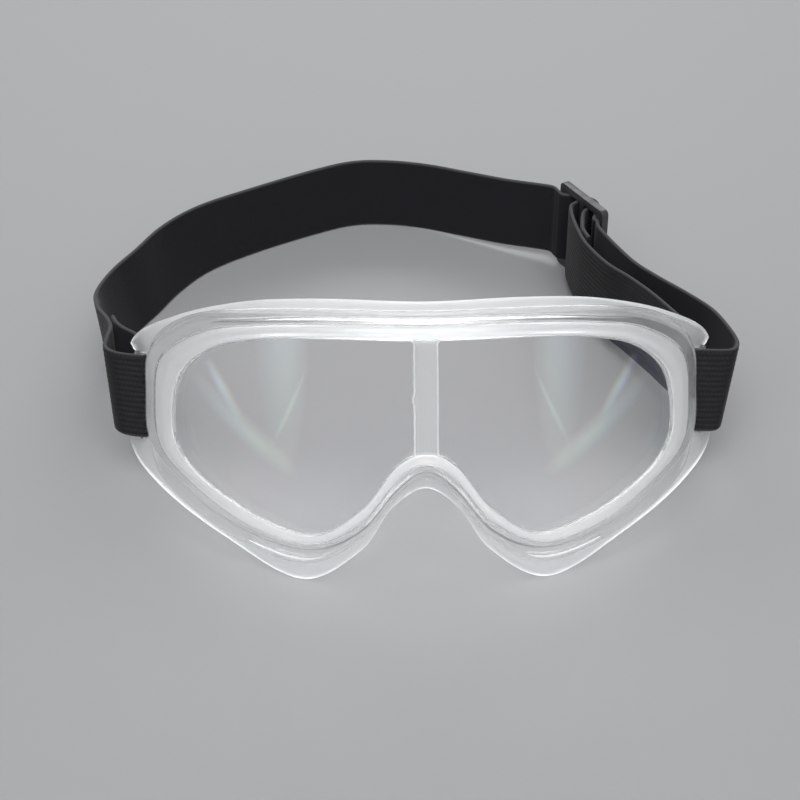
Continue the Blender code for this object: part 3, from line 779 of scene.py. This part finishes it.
def strap_route():
    """Named stretches of the strap. A station is x, y from the nose point, the height of the
    lower edge, the lean back in degrees, and how far the upper edge stands out in x."""
    left_loop = [
        (-97.9, 78.6, 11.4, 22, -2.5),
        (-96.4, 74.2, 12.5, 23, -2.3),
        (-93.8, 70.2, 13.6, 25, -1.8),
        (-88.4, 64.0, 15.2, 27, -1.0),
        *reversed(round_temple_bar(-1, 0.0)),
        (-94.0, 52.4, 17.8, 30, -2.0),
        (-97.6, 57.0, 16.6, 29, -3.0),
        (-97.8, 63.0, 15.6, 27, -3.0),
        (-97.6, 70.0, 13.9, 25, -2.6),
    ]
    back = [
        (-99.8, 78.0, 11.4, 22, -2.5),
        (-103.8, 92.0, 6.5, 15, -4.0),
        (-105.3, 109.0, 1.8, 7, -5.5),
        (-101.5, 126.0, 0.0, 0, -6.0),
        (-95.0, 138.5, 0.0, 0, -5.6),
        (-87.0, 154.0, 0.0, 0, -5.2),
        (-76.0, 167.0, 0.0, 0, -3.0),
        (-58.0, 179.3, 0.0, 0, 0.0),
        (-36.0, 191.8, 0.0, 0, 0.0),
        (-22.0, 197.6, 0.0, 0, 0.0),
        (-9.0, 198.0, 0.0, 0, 0.0),
    ]
    rear_run = [
        (5.0, 194.6, 0.3, 0, 1.0),
        (20.0, 187.8, 0.9, 0, 1.0),
        (34.0, 180.8, 1.8, 0, 0.5),
        (45.0, 176.2, 2.6, 0, 0.0),
    ]
    weave = [
        slider_station(-16.0, -2.6),
        slider_station(-12.0, -2.6),
        slider_station(-9.6, -2.4),
        slider_station(-5.8, 1.5),
        slider_station(0.0, 4.9),
        slider_station(5.8, 1.5),
        slider_station(9.6, -2.4),
        slider_station(12.0, -2.7),
    ]
    outer_run = [
        slider_station(17.0, -4.8),
        (73.3, 121.8, 4.2, 5, 0.5),
        (79.8, 109.3, 5.4, 9, 1.0),
        (88.5, 93.4, 8.0, 15, 2.0),
    ]
    right_fold = [
        (94.2, 79.5, 11.0, 21, 3.0),
        (97.0, 65.5, 14.6, 26, 4.5),
        (97.4, 57.0, 16.2, 29, 5.6),
        (94.6, 51.4, 17.6, 30, 5.0),
        *round_temple_bar(1, 1.0),
        (87.0, 66.5, 14.4, 26, 0.5),
    ]
    inner_run = [
        (83.2, 77.0, 11.3, 21, 0.5),
        (77.6, 93.4, 8.0, 15, 0.5),
        (71.6, 107.8, 5.4, 9, 0.5),
        (65.2, 119.6, 4.0, 5, 0.0),
        slider_station(22.0, -14.5),
        slider_station(13.0, -11.8),
        slider_station(4.0, -8.0),
        slider_station(-1.4, -4.6),
        slider_station(-2.8, -1.2),
        slider_station(-2.8, 1.0),
        slider_station(-1.6, 2.5),
        slider_station(1.6, 2.5),
        slider_station(2.8, 1.0),
        slider_station(3.4, -1.6),
        slider_station(5.6, -4.4),
        slider_station(12.5, -9.4),
        slider_station(19.0, -11.4),
    ]
    return {"left_loop": left_loop, "back": back, "rear_run": rear_run, "weave": weave,
            "outer_run": outer_run, "right_fold": right_fold, "inner_run": inner_run}


def strap_width(x, y):
    """The strap is gathered a little where it passes through the temple slots."""
    gap = math.hypot(abs(x) - TEMPLE_BAR[0], y - TEMPLE_BAR[1])
    return STRAP_WIDTH - GATHER * max(1.0 - (gap / GATHER_REACH) ** 2, 0.0) ** 2


def edge_points(station):
    """Lower and upper edge points of the strap at one station."""
    x, y, low, lean_deg, flare = station
    width = strap_width(x, y)
    rise = np.array([flare, width * math.sin(math.radians(lean_deg)), 0.0])
    rise[2] = math.sqrt(width ** 2 - rise[0] ** 2 - rise[1] ** 2)
    origin = np.array([NOSE_POINT[0], NOSE_POINT[1], 0.0])
    middle = origin + np.array([x, y, low + 0.5 * rise[2]])
    return np.concatenate([middle - 0.5 * rise, middle + 0.5 * rise])


def webbing_profile():
    """The strap's cross-section: (distance across, offset towards the inner face, is inner)."""
    half = 0.5 * STRAP_THICKNESS
    pitch = (STRAP_WIDTH - 2 * SELVEDGE) / RIB_COUNT
    profile = [(0.0, 0.0, False), (0.12, -0.55 * half, False), (0.45, -0.92 * half, False)]
    for k in range(RIB_COUNT * RIB_POINTS + 1):
        across = SELVEDGE + k * pitch / RIB_POINTS
        crest = abs(math.sin(math.pi * k / RIB_POINTS)) ** 0.7
        profile.append((across, -(half - RIB_HEIGHT * (1.0 - crest)), False))
    profile += [(STRAP_WIDTH - 0.45, -0.92 * half, False), (STRAP_WIDTH - 0.12, -0.55 * half, False)]
    profile.append((STRAP_WIDTH, 0.0, False))
    profile += [(STRAP_WIDTH - 0.12, 0.55 * half, True), (STRAP_WIDTH - 0.45, 0.92 * half, True)]
    for across in np.linspace(STRAP_WIDTH - SELVEDGE, SELVEDGE, INNER_POINTS):
        profile.append((across, 0.88 * half, True))
    profile += [(0.45, 0.92 * half, True), (0.12, 0.55 * half, True)]
    return profile


class Strap:
    """The whole strap: smooth edge pairs, the distance along it, and where stretches start."""

    def __init__(self):
        route = strap_route()
        stations = [edge_points(station) for stretch in route.values() for station in stretch]
        edges = smooth_open(stations, STEPS_PER_STATION)
        self.low, self.high = edges[:, :3], edges[:, 3:]
        self.middle = 0.5 * (self.low + self.high)
        steps = np.linalg.norm(np.diff(self.middle, axis=0), axis=1)
        self.length = np.concatenate([[0.0], np.cumsum(steps)])
        self.spans = {}
        start = 0
        for name, stretch in route.items():
            end = min(start + len(stretch) * STEPS_PER_STATION, len(edges) - 1)
            self.spans[name] = (start, end)
            start = end

    def inward(self, i):
        """Direction from the ribbed face to the plain face at a section."""
        last = len(self.middle) - 1
        along = self.middle[min(i + 1, last)] - self.middle[max(i - 1, 0)]
        return unit(np.cross(along, self.high[i] - self.low[i]))

    def point(self, i, across, offset):
        place = self.low[i] + (across / STRAP_WIDTH) * (self.high[i] - self.low[i])
        place = place + offset * self.inward(i)
        place[2] = max(place[2], 0.0)
        return place


def make_webbing(strap, name, materials):
    """One stretch of the strap as a closed ribbed ribbon with a map along and across it."""
    profile = webbing_profile()
    start, end = strap.spans[name]
    sections = [[strap.point(i, across, offset) for across, offset, _ in profile]
                for i in range(start, end + 1)]
    vertices, faces = loft(sections, False)
    piece = mesh_object(f"webbing_{name}", vertices, faces, *materials)
    piece.data.set_sharp_from_angle(angle=math.radians(WEBBING_SHARP_DEG))
    size = len(profile)
    map_layer = piece.data.uv_layers.new(name="webbing")
    for polygon in piece.data.polygons:
        rows = [profile[v % size] for v in polygon.vertices]
        polygon.material_index = 1 if all(row[2] or row[1] == 0.0 for row in rows) else 0
        for loop, v in zip(polygon.loop_indices, polygon.vertices):
            map_layer.data[loop].uv = (strap.length[start + v // size], profile[v % size][0])
    return piece


def blend_at_temple(piece):
    """Bake the piece's placement into its mesh."""
    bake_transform(piece)


def blend_to_buckle(piece, from_point, to_point):
    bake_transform(piece)


def make_strap():
    strap = Strap()
    outside = webbing("webbing_ribbed", dark=(0.002, 0.002, 0.0025), light=(0.016, 0.016, 0.018),
                      pick_pitch=1.1, row_pitch=1.747, depth_mm=0.12)
    inside = webbing("webbing_plain", dark=(0.0025, 0.0025, 0.004), light=(0.012, 0.012, 0.017),
                     pick_pitch=0.8, row_pitch=0.7, depth_mm=0.05)
    pieces = {name: make_webbing(strap, name, (outside, inside)) for name in strap.spans}
    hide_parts("strap_left_loop")
    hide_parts("strap_back")
    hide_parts("strap_rear_run")
    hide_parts("strap_buckle_weave")
    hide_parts("strap_outer_run")
    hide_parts("strap_right_fold")
    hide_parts("strap_inner_run", "strap_sewn_loop")
    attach(pieces["back"], "head_strap")
    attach(pieces["weave"], "buckle")
    blend_at_temple(pieces["left_loop"])
    blend_at_temple(pieces["right_fold"])
    ends = {name: [strap.middle[i] for i in strap.spans[name]] for name in strap.spans}
    blend_to_buckle(pieces["rear_run"], *ends["rear_run"])
    blend_to_buckle(pieces["outer_run"], *reversed(ends["outer_run"]))
    sewn_start = strap.spans["inner_run"][0] + SEWN_STATIONS * STEPS_PER_STATION
    blend_to_buckle(pieces["inner_run"], ends["inner_run"][0], strap.middle[sewn_start])
    return strap


def stitch(centre, way, normal, length, radius):
    """Vertices and faces of one short thread, pulled down a little at both ends."""
    side = unit(np.cross(way, normal))
    sections = []
    for t in np.linspace(-1.0, 1.0, 7):
        girth = radius * max(1.0 - t ** 4, 0.05)
        middle = centre + 0.5 * length * t * way + 0.5 * radius * (1.0 - 2.2 * t * t) * normal
        ring = [middle + girth * (math.cos(a) * side + math.sin(a) * normal)
                for a in np.linspace(0.0, 2 * math.pi, 8, endpoint=False)]
        sections.append(ring)
    return loft(sections, False)


def stitch_rows(strap, name, rows, face):
    """Rows of stitches across the strap on one face of it (-1 ribbed, 1 plain)."""
    vertices, faces = [], []
    for i in rows:
        up = unit(strap.high[i] - strap.low[i])
        normal = face * strap.inward(i)
        for k in range(STITCH_COUNT):
            across = STITCH_MARGIN + k * STITCH_PITCH
            centre = strap.point(i, across, face * 0.5 * STRAP_THICKNESS)
            points, quads = stitch(centre, up, normal, STITCH_LENGTH, STITCH_RADIUS)
            faces += [tuple(v + len(vertices) for v in quad) for quad in quads]
            vertices += points
    return mesh_object(name, vertices, faces, thread())


def make_stitching(strap):
    left = stitch_rows(strap, "stitching_left", LEFT_STITCH_ROWS, -1)
    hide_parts("stitch_left")
    blend_at_temple(left)
    last = len(strap.middle) - 1
    buckle = stitch_rows(strap, "stitching_buckle", [last + row for row in BUCKLE_STITCH_ROWS], -1)
    keep(buckle, "buckle", "black_thread", "stitch_buckle")


# --- Buckle ----------------------------------------------------------------------------------
def buckle_prism(name, middle, length, low, high, half_thickness, rounding, *materials):
    """An upright rounded plate in the buckle's plane."""
    heading = math.radians(BUCKLE_HEADING_DEG)
    along = np.array([math.cos(heading), math.sin(heading), 0.0])
    outward = np.array([-along[1], along[0], 0.0])
    up = np.array([0.0, 0.0, 1.0])
    a, b = middle - 0.5 * length, middle + 0.5 * length
    outline = rounded([(a, low), (b, low), (b, high), (a, high)], [rounding] * 4, 5)
    sections = [[BUCKLE_FOOT + x * along + z * up + side * half_thickness * outward
                 for x, z in outline] for side in (-1, 1)]
    return mesh_object(name, *loft(sections, False), *materials)


def make_buckle():
    buckle = buckle_prism("buckle_plate", 0.0, BUCKLE_LENGTH, 0.0, BUCKLE_HEIGHT,
                          0.5 * BUCKLE_THICKNESS, BUCKLE_CORNER, buckle_plastic())
    slot_length = 0.5 * (BUCKLE_LENGTH - 3 * BUCKLE_BAR)
    slots = []
    for name, way in (("tool_slot_rear", -1), ("tool_slot_front", 1)):
        slots.append(buckle_prism(name, way * 0.5 * (slot_length + BUCKLE_BAR), slot_length,
                                  BUCKLE_RAIL, BUCKLE_HEIGHT - BUCKLE_RAIL,
                                  2 * BUCKLE_THICKNESS, BUCKLE_SLOT_CORNER))
    boolean(buckle, slots, "DIFFERENCE")
    edge = buckle.modifiers.new("soft_edges", "BEVEL")
    edge.width = BUCKLE_EDGE * MM
    edge.segments = 3
    edge.limit_method = "ANGLE"
    edge.angle_limit = math.radians(BUCKLE_BEVEL_DEG)
    apply_modifiers(buckle, BUCKLE_SHARP_DEG)
    for tool in slots:
        bpy.data.objects.remove(tool)
    return keep(buckle, "buckle", "dark_buckle_plastic", "slider")


# --- Stage -----------------------------------------------------------------------------------
def make_camera():
    azimuth, elevation = math.radians(CAMERA_AZIMUTH_DEG), math.radians(CAMERA_ELEVATION_DEG)
    back = np.array([math.sin(azimuth) * math.cos(elevation),
                     -math.cos(azimuth) * math.cos(elevation), math.sin(elevation)])
    right = np.array([math.cos(azimuth), math.sin(azimuth), 0.0])
    up = np.cross(back, right)
    data = bpy.data.cameras.new("camera")
    data.lens = CAMERA_LENS
    data.sensor_width = CAMERA_SENSOR
    data.clip_start = 0.01
    camera = bpy.data.objects.new("camera", data)
    place = MM * (NOSE_POINT + CAMERA_FROM_NOSE)
    matrix = np.eye(4)
    matrix[:3, :3] = np.column_stack([right, up, back])
    matrix[:3, 3] = place
    bpy.context.scene.collection.objects.link(camera)
    camera.matrix_world = Matrix(matrix.tolist())
    bpy.context.scene.camera = camera


def softbox(name, place, size, watts):
    """A soft rectangular lamp aimed at the goggles."""
    data = bpy.data.lights.new(name, "AREA")
    data.shape = "RECTANGLE"
    data.size, data.size_y = size
    data.energy = watts
    lamp = bpy.data.objects.new(name, data)
    target = MM * (NOSE_POINT + np.array([0.0, 60.0, -20.0]))
    lamp.location = place
    lamp.rotation_euler = (Vector(place) - Vector(target)).to_track_quat("Z", "Y").to_euler()
    lamp.visible_camera = False
    bpy.context.scene.collection.objects.link(lamp)


def overcast(name):
    """A very wide, distant lamp in front, which lights the whole floor evenly."""
    data = bpy.data.lights.new(name, "SUN")
    data.energy = SUN_STRENGTH
    data.angle = math.radians(SUN_SPREAD_DEG)
    lamp = bpy.data.objects.new(name, data)
    lamp.rotation_euler = (math.radians(90.0 - SUN_ELEVATION_DEG), 0.0, 0.0)
    bpy.context.scene.collection.objects.link(lamp)


def fade_to_edges(data):
    """Make a lamp brightest in its middle, fading out to its outline."""
    data.use_nodes = True
    tree = data.node_tree
    place = tree.nodes.new("ShaderNodeNewGeometry")
    centre = tree.nodes.new("ShaderNodeVectorMath")
    centre.operation = "MULTIPLY_ADD"
    centre.inputs[1].default_value = (2.0, 2.0, 0.0)
    centre.inputs[2].default_value = (-1.0, -1.0, 0.0)
    falloff = tree.nodes.new("ShaderNodeTexGradient")
    falloff.gradient_type = "SPHERICAL"
    tree.links.new(place.outputs["Parametric"], centre.inputs[0])
    tree.links.new(centre.outputs["Vector"], falloff.inputs["Vector"])
    tree.links.new(falloff.outputs["Fac"], tree.nodes["Emission"].inputs["Strength"])


def soft_lamp(name, start, end, width, watts):
    """A long lamp between two points, facing the goggles and fading out to its edges."""
    middle = 0.5 * (start + end)
    target = Vector(MM * (NOSE_POINT + np.array([0.0, 20.0, 0.0])))
    facing = (middle - target).normalized()
    long_way = (end - start).normalized()
    across = facing.cross(long_way).normalized()
    facing = long_way.cross(across)
    data = bpy.data.lights.new(name, "AREA")
    data.shape = "RECTANGLE"
    data.size, data.size_y = (end - start).length, width
    data.energy = watts
    fade_to_edges(data)
    lamp = bpy.data.objects.new(name, data)
    bpy.context.scene.collection.objects.link(lamp)
    turn = Matrix([long_way, across, facing]).transposed()
    lamp.matrix_world = Matrix.Translation(middle) @ turn.to_4x4()
    lamp.visible_camera = False


def make_floor():
    material, tree, shader = principled("floor", Roughness=0.6)
    cloud = noise(tree, scale=3.0, detail=2.0)
    lighter = tuple(1.03 * c for c in FLOOR_COLOUR)
    tree.links.new(mix_colours(tree, cloud, FLOOR_COLOUR, lighter), shader.inputs["Base Color"])
    half = 0.5 * FLOOR_SIZE / MM
    corners = [(-half, -half, 0.0), (half, -half, 0.0), (half, half, 0.0), (-half, half, 0.0)]
    floor = mesh_object("floor", corners, [(0, 1, 2, 3)], material)
    floor.location.z = -MM * FLOOR_GAP


def make_stage():
    make_floor()
    overcast("ceiling")
    for name, (place, size, watts) in SOFTBOXES.items():
        softbox(name, place, size, watts)
    for side, way in (("left", -1), ("right", 1)):
        for name, (start, end, width, watts) in SIDE_LAMPS.items():
            ends = [Vector((way * x, y, z)) for x, y, z in (start, end)]
            soft_lamp(f"{name}_{side}", *ends, width, watts)
    world = bpy.data.worlds.new("studio")
    world.use_nodes = True
    sky = world.node_tree.nodes["Background"]
    sky.inputs["Color"].default_value = (*WORLD_COLOUR, 1.0)
    sky.inputs["Strength"].default_value = WORLD_STRENGTH
    bpy.context.scene.world = world
    bpy.context.scene.view_settings.view_transform = "Standard"


make_camera()
make_stage()
make_moulding()
make_lens()
make_stitching(make_strap())
make_buckle()
